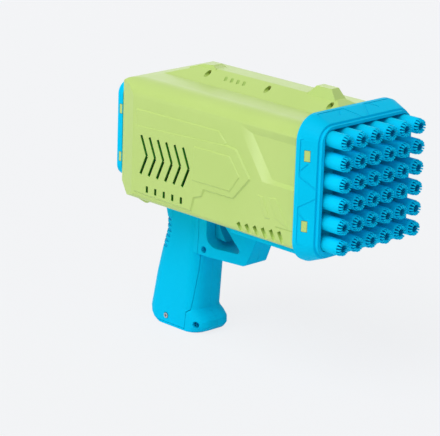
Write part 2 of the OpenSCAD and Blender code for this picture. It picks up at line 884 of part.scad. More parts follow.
// Closed skin through levels of the grip, each a rounded slab outline given by height, rear and front
module grip_form(inset) {
  per_corner = 8;
  n = 4 * (per_corner + 1);
  rows = len(grip_levels);
  r = grip_r - inset;
  flat = grip_w / 2 - grip_r;
  rings = [for (i = [0:rows - 1], c = [0:3], k = [0:per_corner])
    let (level = grip_levels[i],
         a = 90 * c + 90 * k / per_corner,
         x = c == 0 || c == 3 ? level[2] - grip_r : level[1] + grip_r,
         y = c < 2 ? flat : -flat,
         z = level[0] + (i == 0 ? -inset : i > rows - 3 ? inset : 0))
      [x + r * cos(a), y + r * sin(a), z]];
  walls = [for (i = [0:rows - 2], k = [0:n - 1], f = [0, 1])
    let (a = i * n + k, b = i * n + (k + 1) % n)
      f == 0 ? [a, b, b + n] : [a, b + n, a + n]];
  top = [for (k = [n - 1:-1:0]) k];
  base = [for (k = [0:n - 1]) (rows - 1) * n + k];
  polyhedron(rings, concat(walls, [top, base]));
}

// Rear of the grip at a height
function grip_rear(z) = lookup(z, [for (level = grip_levels) [level[0], level[1]]]);

// Grooves that leave ribs round the back of the grip
module rib_grooves() {
  side = grip_w / 2 - grip_r;
  for (i = [0:rib_n - 1]) {
    z = rib_top - i * rib_pitch;
    rear = grip_rear(z);
    translate([0, 0, z - rib_w / 2])
      linear_extrude(rib_w)
        difference() {
          translate([rear - over, -grip_w])
            square([grip_r, 2 * grip_w]);
          polygon(outline([[grip_r, -side, grip_r], [grip_r, side, grip_r], [rear + grip_r, side, grip_r],
            [rear + grip_r, -side, grip_r]], rib_d));
        }
  }
}

// Hollow grip wall with the root of the guard and the ribs round its back
module grip_skin() {
  difference() {
    union() {
      grip_form(0);
      guard_form(0);
    }
    grip_form(wall);
    rib_grooves();
  }
}

// Slot across the grip that the trigger slides in
module trigger_slot() {
  slot = trigger_w / 2 + fit;
  translate([trigger_back - slot_run, -slot, trigger_low - fit])
    cube([slot_l, 2 * slot, trigger_high - trigger_low + 2 * fit]);
}

// Outline of the battery cover on the side of the grip, grown by a gap
module cover_prism(gap) {
  along_y(-grip_w, gap - cover_split)
    polygon([[-far, cover_top + gap], [17 + gap, cover_top + gap], [17 + gap, 30], [15.3 + gap, 3.4],
      [13.3 + gap, -12], [11 + gap, -27.5], [9.5 + gap, -35 - gap], [6 + gap, -37.5 - gap],
      [4.5 + gap, cover_base - gap],
      [-far, cover_base - gap]]);
}

// Trigger guard seen from the side, and its width seen from above, both drawn in by an inset
module guard_form(inset) {
  hw = guard_w / 2 - inset;
  front_hw = guard_front_w / 2 - inset;
  x1 = guard_screw[0] + 5;
  x2 = 90;
  intersection() {
    along_y(-guard_w, guard_w)
      polygon(outline(guard_corners, inset));
    linear_extrude(2 * floor_z)
      polygon([[0, -hw], [x1, -hw], [x2, -front_hw], [x2, front_hw], [x1, hw], [0, hw]]);
  }
}

// Hollow inside the guard, round the finger hole
module guard_core() {
  difference() {
    guard_form(wall);
    along_y(-guard_w, guard_w)
      polygon(outline(finger_corners, -wall));
  }
}

module belly() {
  taper = 12;
  edge = [[belly_x0, -guard_front_w / 2], [belly_x0 + taper * 2, -belly_w / 2], [belly_x1, -belly_w / 2],
    [belly_x1, belly_w / 2], [belly_x0 + taper * 2, belly_w / 2], [belly_x0, guard_front_w / 2]];
  difference() {
    translate([0, 0, floor_z - belly_t])
      linear_extrude(belly_t)
        polygon(edge);
    translate([0, 0, floor_z - belly_t + belly_floor])
      intersection() {
        linear_extrude(belly_t)
          translate([wall, 0])
            polygon(edge);
        translate([belly_x0 + 10, wall - belly_w / 2, 0])
          cube([belly_x1 - belly_x0 - 10 - wall, belly_w - 2 * wall, belly_t]);
      }
  }
  for (x = belly_screw_x, s = [-1, 1])
    translate([x, s * belly_screw_y, floor_z - belly_t])
      cylinder(r = belly_post_r, h = belly_t);
}

// Neck through the shell floor, with the flange that the shells close over
module neck() {
  translate([neck_x0, -neck_w / 2, floor_z - wall])
    cube([neck_x1 - neck_x0, neck_w, 2 * wall + fit + neck_flange]);
  translate([neck_x0 - neck_flange, -neck_w / 2 - neck_flange, floor_z + wall + fit])
    cube([neck_x1 - neck_x0 + 2 * neck_flange, neck_w + 2 * neck_flange, neck_flange]);
}

// Screw post across the grip
module grip_post(at, reach) {
  translate([at[0], 0, at[1]])
    rod_y(boss_r, -reach, reach);
}

module grip_half(side) {
  intersection() {
    difference() {
      union() {
        difference() {
          union() {
            grip_form(0);
            guard_form(0);
            neck();
          }
          grip_form(wall);
          guard_core();
        }
        belly();
        grip_post(guard_screw, guard_w / 2 - wall / 2);
        grip_post(base_screw, toe_reach);
        if (side > 0)
          translate([cover_screw[0], 0, cover_screw[1]])
            rod_y(boss_r - 0.4, 0, grip_w / 2 - wall / 2);
      }
      along_y(-grip_w, grip_w)
        polygon(outline(finger_corners));
      trigger_slot();
      translate([neck_x0 + 3, -neck_hole_w / 2, floor_z - 2 * wall])
        cube([neck_x1 - neck_x0 - 7, neck_hole_w, 6 * wall]);
      rib_grooves();
      cover_prism(fit);
      grip_screw_holes(side);
      for (x = belly_screw_x, s = [-1, 1])
        translate([x, s * belly_screw_y, 0]) {
          translate([0, 0, floor_z - belly_t - over])
            cylinder(r = screw_r + 0.2, h = belly_t + 2 * over);
          translate([0, 0, floor_z - belly_t - over])
            cylinder(r = hole_r, h = over + head_h + 0.4);
        }
    }
    half(side);
  }
}

module grip_screw_holes(side) {
  for (at = [guard_screw, base_screw])
    translate([at[0], 0, at[1]])
      if (side < 0) {
        rod_y(grip_hole_r, -grip_w, -seat_y);
        rod_y(screw_r + 0.2, -seat_y - over, over);
      } else {
        rod_y(pilot_r, -over, screw_l - seat_y + 0.6);
      }
  if (side > 0)
    translate([cover_screw[0], 0, cover_screw[1]])
      rod_y(screw_r + fit, -grip_w, cover_screw_tip + 0.6);
}

module right_grip() {
  color(blue)
    grip_half(-1);
}

module left_grip() {
  color(blue)
    grip_half(1);
}

module grip_screws() {
  color(steel)
    for (at = [guard_screw, base_screw])
      translate([at[0], -seat_y, at[1]])
        rotate([-90, 0, 0])
          screw(screw_l);
}

module belly_screws() {
  color(steel)
    for (x = belly_screw_x, s = [-1, 1])
      translate([x, s * belly_screw_y, floor_z - belly_t + head_h + 0.4])
        screw(screw_l);
}

module battery_cover() {
  color(blue)
    difference() {
      union() {
        intersection() {
          difference() {
            grip_skin();
            trigger_slot();
          }
          cover_prism(0);
        }
        translate([cover_screw[0], 0, cover_screw[1]])
          rod_y(4, 1 - grip_w / 2, 6.6 - grip_w / 2);
      }
      translate([cover_screw[0], 0, cover_screw[1]]) {
        rod_y(head_r + 0.35, -grip_w, cover_seat);
        rod_y(screw_r + 0.15, -grip_w, 0);
      }
    }
}

module battery_cover_screw() {
  color(steel)
    translate([cover_screw[0], cover_seat, cover_screw[1]])
      rotate([-90, 0, 0])
        screw(cover_screw_l);
}

// Blade that the finger pulls: its front is hooked forward at the tip
module trigger() {
  blade = [[trigger_back, trigger_low], [31.5, trigger_low], [38.5, trigger_low - 0.6], [36, 31.4],
    [32.9, 35.6], [30.9, 40], [29.7, 45], [29.1, trigger_high], [trigger_back, trigger_high]];
  color(blue)
    union() {
      along_y(-trigger_w / 2, trigger_w / 2)
        polygon(blade);
      translate([trigger_back, -trigger_w / 2 - 1.5, trigger_low + 6])
        cube([8, trigger_w + 3, trigger_high - trigger_low - 8]);
      translate([trigger_back + thin, 0, stem_z])
        rod_x(stem_r, -stem_l, 0);
    }
}

// Return spring behind the trigger, drawn as a plain sleeve
module trigger_spring() {
  color(steel)
    translate([0, 0, stem_z])
      difference() {
        rod_x(stem_r + 1.2, carrier_x + 0.05, trigger_back - 0.05);
        rod_x(stem_r + fit, carrier_x - over, trigger_back + over);
      }
}

module switch_carrier() {
  color(dark_blue)
    translate([carrier_x - carrier_t, -carrier_w / 2, tray_z1 + 1])
      cube([carrier_t, carrier_w, trigger_high - tray_z1 - 2]);
}

module switch_body() {
  color(black)
    translate([carrier_x, -4, switch_z - 4.5])
      difference() {
        cube([9.5, 8, 9]);
        translate([1, 4 - 1.5 - fit, 4.5 - 1.5 - fit])
          cube([9.5, 3 + 2 * fit, 3 + 2 * fit]);
      }
}

module switch_plunger() {
  color("white")
    translate([carrier_x + 1.5 + trigger_travel, -1.5, switch_z - 1.5])
      cube([trigger_back - carrier_x - 1.5 - trigger_travel - fit, 3, 3]);
}

// Places of the four batteries, with every other one turned over
module at_cells() {
  for (i = [-1, 1], j = [-1, 1])
    translate([pack_x + i * cell_step, j * cell_step, 0])
      children(i * j > 0 ? 0 : 1);
}

module cell() {
  cylinder(r = cell_r, h = cell_l);
  translate([0, 0, cell_l - thin])
    cylinder(r = 2.7, h = button_h + thin);
}

module batteries() {
  color(black)
    at_cells() {
      translate([0, 0, cell_z0 + cell_gap])
        cell();
      translate([0, 0, cell_z0 + cell_l - spring_h + button_h + cell_gap])
        mirror([0, 0, 1])
          cell();
    }
}

module battery_tray() {
  w = 4 * cell_step - cell_gap;
  strip_w = 4.6;
  color(dark_blue)
    translate([pack_x - w / 2, -w / 2, 0]) {
      translate([0, 0, tray_z0])
        cube([w, w, tray_t]);
      translate([0, 0, tray_z1 - tray_t])
        cube([w, w, tray_t]);
      translate([w / 2 - strip_w / 2, w - 1.2, tray_z0])
        cube([strip_w, 1.9, tray_z1 - tray_z0]);
    }
}

module battery_contacts() {
  color(steel)
    at_cells() {
      contact_pair();
      contact_pair();
    }
}

module contact_pair() {
  for (z = [tray_z0 + tray_t, tray_z1 - tray_t - contact_t])
    translate([-5, -5, z])
      cube([10, 10, contact_t]);
}

// Contact springs, drawn as plain sleeves
module contact_springs() {
  color(steel)
    at_cells() {
      translate([0, 0, tray_z0 + tray_t + contact_t])
        contact_spring();
      translate([0, 0, tray_z1 - tray_t - contact_t - spring_h])
        contact_spring();
    }
}

module contact_spring() {
  difference() {
    cylinder(r = 3.8, h = spring_h);
    translate([0, 0, -over])
      cylinder(r = 3, h = spring_h + 2 * over);
  }
}

module fan_frame() {
  duct_r = fan_r + duct_gap;
  color(dark_blue)
    difference() {
      union() {
        translate([0, 0, axis_z])
          along_x(bulk_x, bulk_x + bulk_t)
            polygon(outline(body_section, wall + fit));
        translate([0, 0, axis_z])
          rod_x(duct_r + wall, bulk_x, bulk_x + duct_l);
      }
      translate([0, 0, axis_z])
        rod_x(duct_r, bulk_x - over, bulk_x + duct_l + over);
    }
  color(dark_blue)
    translate([0, 0, axis_z])
      difference() {
        union() {
          rod_x(motor_r + fit / 2 + cup_t, motor_x0 + 4, motor_x1 + cup_t);
          for (a = [30, 150, 270])
            rotate([a, 0, 0])
              translate([bulk_x, 0, -2])
                cube([bulk_t, duct_r + 1, 4]);
        }
        rod_x(motor_r + fit / 2, motor_x0 - over, motor_x1 + thin);
        rod_x(4, motor_x1 - over, motor_x1 + cup_t + over);
      }
}

module motor() {
  color(steel)
    translate([0, 0, axis_z])
      difference() {
        rod_x(motor_r, motor_x0, motor_x1);
        rod_x(shaft_r + run_fit, motor_x0 + 4, motor_x1 + over);
      }
}

module motor_end_bell() {
  color("white")
    translate([0, 0, axis_z])
      rod_x(motor_r - 1, motor_x0 - bell_l, motor_x0);
}

module motor_terminals() {
  color(steel)
    for (s = [-1, 1])
      translate([motor_x0 - bell_l - 4, s * 5 - 1.5, axis_z - 0.3])
        cube([4, 3, 0.6]);
}

module motor_shaft() {
  color(steel)
    translate([0, 0, axis_z])
      rod_x(shaft_r, motor_x0 + 6, hub_x0 + hub_l - 1);
}

module fan_impeller() {
  color("white")
    translate([0, 0, axis_z])
      difference() {
        union() {
          rod_x(hub_r, hub_x0, hub_x0 + hub_l);
          intersection() {
            rod_x(fan_r, hub_x0, hub_x0 + hub_l);
            for (i = [0:fan_blades - 1])
              rotate([i * 360 / fan_blades, 0, 0])
                translate([hub_x0 + hub_l / 2, 0, hub_r - 1])
                  rotate([0, 0, blade_pitch])
                    translate([-blade_chord / 2, -blade_t / 2, 0])
                      cube([blade_chord, blade_t, fan_r]);
          }
        }
        rod_x(shaft_r + 0.01, hub_x0 - over, hub_x0 + hub_l - 1);
      }
}

// Point on a smooth curve through hand-picked points
function curve(p, i, t) =
  let (a = p[max(i - 1, 0)], b = p[i], c = p[i + 1], d = p[min(i + 2, len(p) - 1)])
    0.5 * (2 * b + (c - a) * t + (2 * a - 5 * b + 4 * c - d) * t * t + (3 * b - a - 3 * c + d) * t * t * t);

function smooth(p, n) = concat([for (i = [0:len(p) - 2], k = [0:n - 1]) curve(p, i, k / n)], [p[len(p) - 1]]);

function unit(v) = v / norm(v);

// Round tube swept along points
module tube(path, r, sides = 8) {
  n = len(path);
  rings = [for (i = [0:n - 1])
    let (d = unit(path[min(i + 1, n - 1)] - path[max(i - 1, 0)]),
         u = unit(cross(d, [0, 1, 0])),
         v = cross(d, u))
      for (k = [0:sides - 1])
        path[i] + r * (u * cos(k * 360 / sides) + v * sin(k * 360 / sides))];
  walls = [for (i = [0:n - 2], k = [0:sides - 1], f = [0, 1])
    let (a = i * sides + k, b = i * sides + (k + 1) % sides)
      f == 0 ? [a, b + sides, b] : [a, a + sides, b + sides]];
  start = [for (k = [0:sides - 1]) k];
  end = [for (k = [sides - 1:-1:0]) (n - 1) * sides + k];
  polyhedron(rings, concat(walls, [start, end]));
}

module red_lead() {
  color("red")
    tube(smooth(red_route, 3), lead_r);
}

module black_lead() {
  color(black)
    tube(smooth(black_route, 3), lead_r);
}

right_shell();
left_shell();
shell_screws();
front_bezel();
nozzle_plate();
rear_cap();
right_grip();
left_grip();
grip_screws();
belly_screws();
battery_cover();
battery_cover_screw();
trigger();
trigger_spring();
switch_carrier();
switch_body();
switch_plunger();
battery_tray();
batteries();
battery_contacts();
contact_springs();
fan_frame();
motor();
motor_end_bell();
motor_terminals();
motor_shaft();
fan_impeller();
red_lead();
black_lead();
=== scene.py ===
import math

import bmesh
import bpy
from mathutils import Matrix, Vector


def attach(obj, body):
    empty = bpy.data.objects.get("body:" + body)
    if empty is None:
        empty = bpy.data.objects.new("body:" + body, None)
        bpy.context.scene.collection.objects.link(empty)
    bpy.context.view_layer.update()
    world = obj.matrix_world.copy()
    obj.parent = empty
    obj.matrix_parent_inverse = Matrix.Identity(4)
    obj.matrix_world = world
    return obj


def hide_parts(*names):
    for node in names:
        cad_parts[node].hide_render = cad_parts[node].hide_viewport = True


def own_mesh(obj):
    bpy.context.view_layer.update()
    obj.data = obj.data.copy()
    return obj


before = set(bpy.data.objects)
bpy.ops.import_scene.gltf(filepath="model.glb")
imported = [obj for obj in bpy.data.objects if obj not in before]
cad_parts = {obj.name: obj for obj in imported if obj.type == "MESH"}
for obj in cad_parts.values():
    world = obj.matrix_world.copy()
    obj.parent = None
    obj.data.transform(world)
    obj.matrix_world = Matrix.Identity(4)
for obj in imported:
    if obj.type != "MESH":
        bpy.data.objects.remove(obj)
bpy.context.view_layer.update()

# Sizes of the part in mm, in the shared frame
MM = 0.001
AXIS_Z = 108
PLATE_X = 169
MUZZLE_X = 194
BORE_R = 2.2
NOZZLE_ROWS = 6
NOZZLE_PITCH = 16.1
FLOOR_Z = -54

# Places of the shells' cuts in mm, where shade is painted into the shells' colour: along X, then along
# Z
CHEVRONS = (-17, 56), (79, 116)
LOW_SLOTS = (-8, 40), (66.5, 75)
NOTCHES = (90, 152), (64.4, 73)
SPINE_SLOTS = (32, 60), (158, 165.5)

# Inner and outer faces of the side panel's wall, and the face that the notches are cut in, in mm
PANEL_INNER, PANEL_OUTER, NOTCHED_FACE = 52.7, 54.6, 53.5

# The slope of the spine: a point on it and its normal, both across and up
SLOPE_POINT = 21.64, 155.01
SLOPE_NORMAL = 0.5477, 0.8367

# The picture that the camera matches, in pixels
PICTURE_W, PICTURE_H = 440, 436


def linear(r, g, b):
    """An sRGB colour from 0 to 255 as the linear colour that a shader takes."""
    return tuple(c / 12.92 if c <= 0.04045 else ((c + 0.055) / 1.055) ** 2.4
                 for c in (r / 255, g / 255, b / 255)) + (1.0,)


class Wire:
    """A shader socket. Sums on it add Math nodes, and make() adds any other node to its tree."""

    def __init__(self, tree, socket=None):
        self.tree = tree
        self.socket = socket

    def make(self, kind, settings=(), sockets=(), out=0):
        node = self.tree.nodes.new("ShaderNode" + kind)
        for key, value in dict(settings).items():
            setattr(node, key, value)
        for key, value in dict(sockets).items():
            if isinstance(value, Wire):
                self.tree.links.new(value.socket, node.inputs[key])
            else:
                node.inputs[key].default_value = value
        return Wire(self.tree, node.outputs[out] if node.outputs else None)

    def sum(self, operation, a, b=0.0):
        return self.make("Math", {"operation": operation}, {0: a, 1: b})

    def __add__(self, other):
        return self.sum("ADD", self, other)

    def __radd__(self, other):
        return self.sum("ADD", other, self)

    def __sub__(self, other):
        return self.sum("SUBTRACT", self, other)

    def __rsub__(self, other):
        return self.sum("SUBTRACT", other, self)

    def __mul__(self, other):
        return self.sum("MULTIPLY", self, other)

    def __rmul__(self, other):
        return self.sum("MULTIPLY", other, self)

    def ramp(self, low, high):
        """0 below low and 1 above high, smooth between them."""
        return self.make("MapRange", {"interpolation_type": "SMOOTHSTEP"},
                         {"Value": self, "From Min": low, "From Max": high})

    def tint(self, dark, pale):
        """A colour from dark at 0 to pale at 1."""
        colours = {"Factor": self, 6: dark, 7: pale}
        return self.make("Mix", {"data_type": "RGBA"}, colours, out=2)


def new_finish(name):
    """An empty material: its start for node making and its Object coordinates."""
    finish = bpy.data.materials.new(name)
    finish.use_nodes = True
    finish.node_tree.nodes.clear()
    start = Wire(finish.node_tree)
    return finish, start, start.make("TexCoord", out=3)


def noise(start, place, scale, detail=2.0, rough=0.5):
    return start.make("TexNoise", {"noise_dimensions": "3D"},
                      {"Vector": place, "Scale": scale, "Detail": detail, "Roughness": rough})


def surface(start, sockets):
    shader = start.make("BsdfPrincipled", sockets=sockets)
    start.make("OutputMaterial", sockets={"Surface": shader})


def apart(start, place):
    """The three parts of a place, as sockets."""
    parts = start.make("SeparateXYZ", sockets={"Vector": place}).socket.node.outputs
    return [Wire(start.tree, part) for part in parts]


def shell_cut_shade(start, place, colour):
    """Paints shade into the shells' colour: dark green on the walls of the vent slots, and olive on
    the bottoms of the notches and of the spine's slots.
    """
    x, y, z = apart(start, place)
    out = start.sum("ABSOLUTE", y)

    def between(value, low, high, soft=0.2):
        above = value.ramp(low * MM, (low + soft) * MM)
        return above * (1 - value.ramp((high - soft) * MM, high * MM))

    def within(area):
        along_x, along_z = area
        return between(x, *along_x) * between(z, *along_z)

    past_inner = out.ramp((PANEL_INNER + 0.05) * MM, (PANEL_INNER + 0.2) * MM)
    short_of_outer = 1 - out.ramp((PANEL_OUTER - 0.5) * MM, (PANEL_OUTER - 0.15) * MM)
    # Painted shade: the walls of the vent slots are made dark green, as if in shade
    vent_shade = (within(CHEVRONS) + within(LOW_SLOTS)) * past_inner * short_of_outer
    cut_in = 1 - out.ramp((NOTCHED_FACE - 0.3) * MM, (NOTCHED_FACE - 0.1) * MM)
    notches = within(NOTCHES) * cut_in
    above_slope = (SLOPE_NORMAL[0] * (out - SLOPE_POINT[0] * MM)
                   + SLOPE_NORMAL[1] * (z - SLOPE_POINT[1] * MM))
    below_rim = 1 - above_slope.ramp(-0.18 * MM, -0.08 * MM)
    slots = within(SPINE_SLOTS) * above_slope.ramp(-1.6 * MM, -1.5 * MM) * below_rim
    # Painted shade: the bottoms of the notches and of the spine's slots are made olive
    floor_shade = (notches * 0.3 + slots).tint(colour, linear(152, 187, 76))
    return vent_shade.tint(floor_shade, linear(34, 150, 34))


def nozzle_mouth_shade(start, place, colour):
    """Paints shade into the nozzles' colour: darker towards the plate, down their bores and between
    their crowns' teeth.
    """
    x, y, z = apart(start, place)
    per_pitch = 1 / (NOZZLE_PITCH * MM)
    across = start.sum("FRACT", y * per_pitch) - 0.5
    above = start.sum("FRACT", (z - AXIS_Z * MM) * per_pitch) - 0.5
    off_axis = NOZZLE_PITCH * start.sum("SQRT", across * across + above * above)
    below_tips = 1 - x.ramp((MUZZLE_X - 2.0) * MM, (MUZZLE_X - 0.5) * MM)
    past_plate = x.ramp((PLATE_X + 6) * MM, (PLATE_X + 8) * MM)
    # Painted shade down the bores and between the crowns' teeth
    bore_and_teeth_shade = (1 - off_axis.ramp(5.2, 5.5)) * below_tips * past_plate
    # Painted shade: the tubes are darker towards the plate
    root_shade = 1 - x.ramp(PLATE_X * MM, (PLATE_X + 17) * MM)
    return bore_and_teeth_shade.tint(root_shade.tint(colour, linear(0, 178, 208)), linear(0, 158, 208))


def moulded_plastic(name, dark, pale, gloss, grain, specular, edge=0.4, shade=None):
    """Injection-moulded plastic: slow colour drift, flow sheen in its roughness, a fine spark-eroded
    grain, and painted shade in its colour where shade is given.
    """
    finish, start, place = new_finish(name)
    drift = noise(start, place, 14, 3)
    sheen = noise(start, place, 45, 3, 0.6)
    spark = noise(start, place, 2600, 2, 0.6)
    pits = start.make("TexVoronoi", {"feature": "F1"}, {"Vector": place, "Scale": 1900})
    skin = spark * 0.7 + pits * 0.5
    rounded = start.make("Bevel", {"samples": 6}, {"Radius": edge * MM})
    bump = start.make("Bump", sockets={
        "Strength": grain, "Distance": 0.0002, "Height": skin, "Normal": rounded})
    colour = drift.ramp(0.3, 0.7).tint(dark, pale)
    # Painted shade from the given shade function goes into the colour here
    if shade:
        colour = shade(start, place, colour)
    surface(start, {
        "Base Color": colour,
        "Roughness": gloss + sheen * 0.10 + spark * 0.05,
        "Normal": bump,
        "Specular IOR Level": specular,
    })
    return finish


def drawn_metal(name, dark, pale, gloss, grain_scale):
    """Formed metal: faint drawing lines and patches of dull and bright."""
    finish, start, place = new_finish(name)
    patch = noise(start, place, 260, 3)
    stretched = start.make("Mapping", sockets={"Vector": place, "Scale": (0.1, 1.0, 1.0)})
    lines = noise(start, stretched, grain_scale, 2)
    bump = start.make("Bump", sockets={"Strength": 0.15, "Distance": 0.0001, "Height": lines})
    surface(start, {
        "Base Color": patch.ramp(0.3, 0.7).tint(dark, pale),
        "Metallic": 1.0,
        "Roughness": gloss + patch * 0.12,
        "Normal": bump,
    })
    return finish


green = moulded_plastic("green_abs", linear(184, 212, 111), linear(188, 215, 116),
                        0.27, 0.10, 0.75, 0.3, shell_cut_shade)
blue = moulded_plastic("blue_abs", linear(0, 198, 243), linear(0, 203, 248), 0.40, 0.08, 0.03, 0.7)
# Painted shade: a slightly darker copy of the blue plastic for the grip halves and the battery cover
grip_shaded_blue = moulded_plastic("grip_shaded_blue_abs", linear(0, 194, 237), linear(0, 198, 242),
                            0.43, 0.08, 0.02, 0.7)
# Painted shade: a darker copy of the blue plastic for the trigger, which sits in the guard's shade
trigger_shaded_blue = moulded_plastic("trigger_shaded_blue_abs", linear(0, 176, 212), linear(0, 180, 216),
                               0.40, 0.08, 0.03, 0.7)
# Painted light: a lighter copy of the blue plastic for the nozzles, with painted shade added at the
# plate, down the bores and between the teeth
nozzle_lit_and_shaded_blue = moulded_plastic("nozzle_lit_and_shaded_blue_abs", linear(0, 208, 252), linear(0, 212, 255),
                              0.40, 0.08, 0.03, 0.3, nozzle_mouth_shade)
inner = moulded_plastic("inner_abs", linear(0, 110, 152), linear(4, 118, 162), 0.45, 0.12, 0.3)
black = moulded_plastic("black_abs", linear(22, 23, 25), linear(30, 31, 33), 0.42, 0.12, 0.4)
white = moulded_plastic("white_abs", linear(226, 226, 222), linear(234, 234, 230), 0.38, 0.08, 0.35)
red_pvc = moulded_plastic("red_lead_pvc", linear(176, 20, 24), linear(190, 28, 30), 0.40, 0.05, 0.4)
black_pvc = moulded_plastic("black_lead_pvc", linear(20, 20, 22), linear(28, 28, 30), 0.40, 0.05, 0.4)
steel = drawn_metal("zinc_plated_steel", linear(168, 170, 172), linear(196, 198, 200), 0.26, 1800)
# Partly painted shade: blackened steel for the grip and belly screws, its darkness standing in for the
# shade in their holes
dark_steel_hole_shade = drawn_metal("blackened_steel_hole_shade", linear(44, 48, 50), linear(60, 64, 67), 0.36, 1800)
# Partly painted shade: the shell screws' olive yellow-zinc tone stands in for the green-tinted shade
# down their holes
yellow_zinc_hole_shade = drawn_metal("yellow_zinc_hole_shade_steel", linear(150, 162, 74), linear(172, 182, 92), 0.42, 1800)
brass = drawn_metal("nickelled_brass", linear(190, 176, 128), linear(212, 198, 152), 0.24, 1500)


def battery_sleeve():
    """Film sleeves of plain batteries that lie head to tail: dark, with a paler band at the button
    end and bare steel at both ends."""
    finish, start, place = new_finish("battery_sleeve")
    x, y, z = apart(start, place)
    between_rows, upright_middle, turned_middle = -5.5, -10.15, -14.15
    upright = ((x - between_rows * MM) * y).ramp(-1e-9, 1e-9)
    along = upright * (z - upright_middle * MM) - (1 - upright) * (z - turned_middle * MM)
    band = along.ramp(11.4 * MM, 11.7 * MM)
    ends = along.ramp(24.2 * MM, 24.3 * MM) + (1 - along.ramp(-25.3 * MM, -25.25 * MM))
    drift = noise(start, place, 60, 2)
    body = drift.tint(linear(38, 40, 44), linear(46, 48, 52))
    surface(start, {
        "Base Color": ends.tint(band.tint(body, linear(196, 150, 70)), linear(196, 198, 200)),
        "Roughness": 0.24 + drift * 0.1,
        "Metallic": start.sum("MAXIMUM", band * 0.6, ends),
        "Coat Weight": 0.4,
        "Coat Roughness": 0.1,
    })
    return finish


sleeve = battery_sleeve()


def object_from(name, mesh):
    piece = bpy.data.objects.new(name, mesh)
    bpy.context.scene.collection.objects.link(piece)
    return piece


def made_plain(piece):
    """Turns a piece's modifiers into its mesh."""
    bpy.context.view_layer.update()
    seen = piece.evaluated_get(bpy.context.evaluated_depsgraph_get())
    mesh = bpy.data.meshes.new_from_object(seen)
    old = piece.data
    piece.modifiers.clear()
    piece.data = mesh
    bpy.data.meshes.remove(old)
    return piece


def dressed(piece, finish, body, node):
    """Gives a piece its material and its body, and hides the CAD node it stands for."""
    piece.data.materials.clear()
    piece.data.materials.append(finish)
    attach(piece, body)
    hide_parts(node)
    return piece


def wind(bm, foot, way, length, radii, wire, turns, steps=24, sides=8):
    """Winds one spring into a mesh, from its foot along way, with a closed turn at each end.
    Sizes are in mm."""
    way = Vector(way)
    side = way.orthogonal().normalized()
    other = way.cross(side)
    closed = 2.15 * wire
    pitch = (length - 2 * wire - 2 * closed) / (turns - 2)
    rings = []
    for i in range(turns * steps + 1):
        turn = i / steps
        end_turns = min(turn, 1) + max(turn - turns + 1, 0)
        rise = wire + closed * end_turns + pitch * min(max(turn - 1, 0), turns - 2)
        out = side * math.cos(math.tau * turn) + other * math.sin(math.tau * turn)
        radius = radii[0] + (radii[1] - radii[0]) * turn / turns
        middle = Vector(foot) + way * rise + out * radius
        angles = [math.tau * k / sides for k in range(sides)]
        rings.append([bm.verts.new((middle + wire * (out * math.cos(a) + way * math.sin(a))) * MM)
                      for a in angles])
    for a, b in zip(rings, rings[1:]):
        for k in range(sides):
            bm.faces.new((a[k], a[(k + 1) % sides], b[(k + 1) % sides], b[k])).smooth = True
    bm.faces.new(rings[0])
    bm.faces.new(rings[-1])


def springs(name, windings):
    """A piece of one or more wound springs."""
    bm = bmesh.new()
    for winding in windings:
        wind(bm, *winding)
    bmesh.ops.recalc_face_normals(bm, faces=bm.faces)
    mesh = bpy.data.meshes.new(name)
    bm.to_mesh(mesh)
    bm.free()
    return object_from(name, mesh)


def flats(bm):
    """The flat areas of a mesh: which one each face is in, and how broad each is."""
    area_of, breadth = {}, []
    for seed in bm.faces:
        if seed in area_of:
            continue
        area_of[seed] = len(breadth)
        todo, size, rim = [seed], 0.0, 0.0
        while todo:
            face = todo.pop()
            size += face.calc_area()
            for edge in face.edges:
                if len(edge.link_faces) == 2 and edge.calc_face_angle(9) < math.radians(0.5):
                    for other in edge.link_faces:
                        if other not in area_of:
                            area_of[other] = len(breadth)
                            todo.append(other)
                else:
                    rim += edge.calc_length()
        breadth.append(2 * size / rim if rim else 0.0)
    return area_of, breadth


SHARP_TURN, CREASE_TURN = math.radians(29), math.radians(4)


def moulding(node, broad=4.0):
    """A CAD node's shape as moulded: smooth over its curves, crisp at its edges and between flats."""
    bm = bmesh.new()
    bm.from_mesh(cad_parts[node].data)
    bmesh.ops.remove_doubles(bm, verts=bm.verts, dist=3e-6)
    bmesh.ops.dissolve_degenerate(bm, edges=bm.edges, dist=1e-6)
    area_of, breadth = flats(bm)
    for f in bm.faces:
        f.smooth = True
    for edge in bm.edges:
        turn = edge.calc_face_angle(9)
        between = min(breadth[area_of[f]] for f in edge.link_faces)
        crease = turn > CREASE_TURN and between > broad * MM
        edge.smooth = turn < SHARP_TURN and not crease
    mesh = bpy.data.meshes.new(node + "_moulding")
    bm.to_mesh(mesh)
    bm.free()
    carried = mesh.attributes.get("custom_normal")
    if carried:
        mesh.attributes.remove(carried)
    piece = object_from(node + "_moulding", mesh)
    even = piece.modifiers.new("even", "WEIGHTED_NORMAL")
    even.keep_sharp = True
    return made_plain(piece)


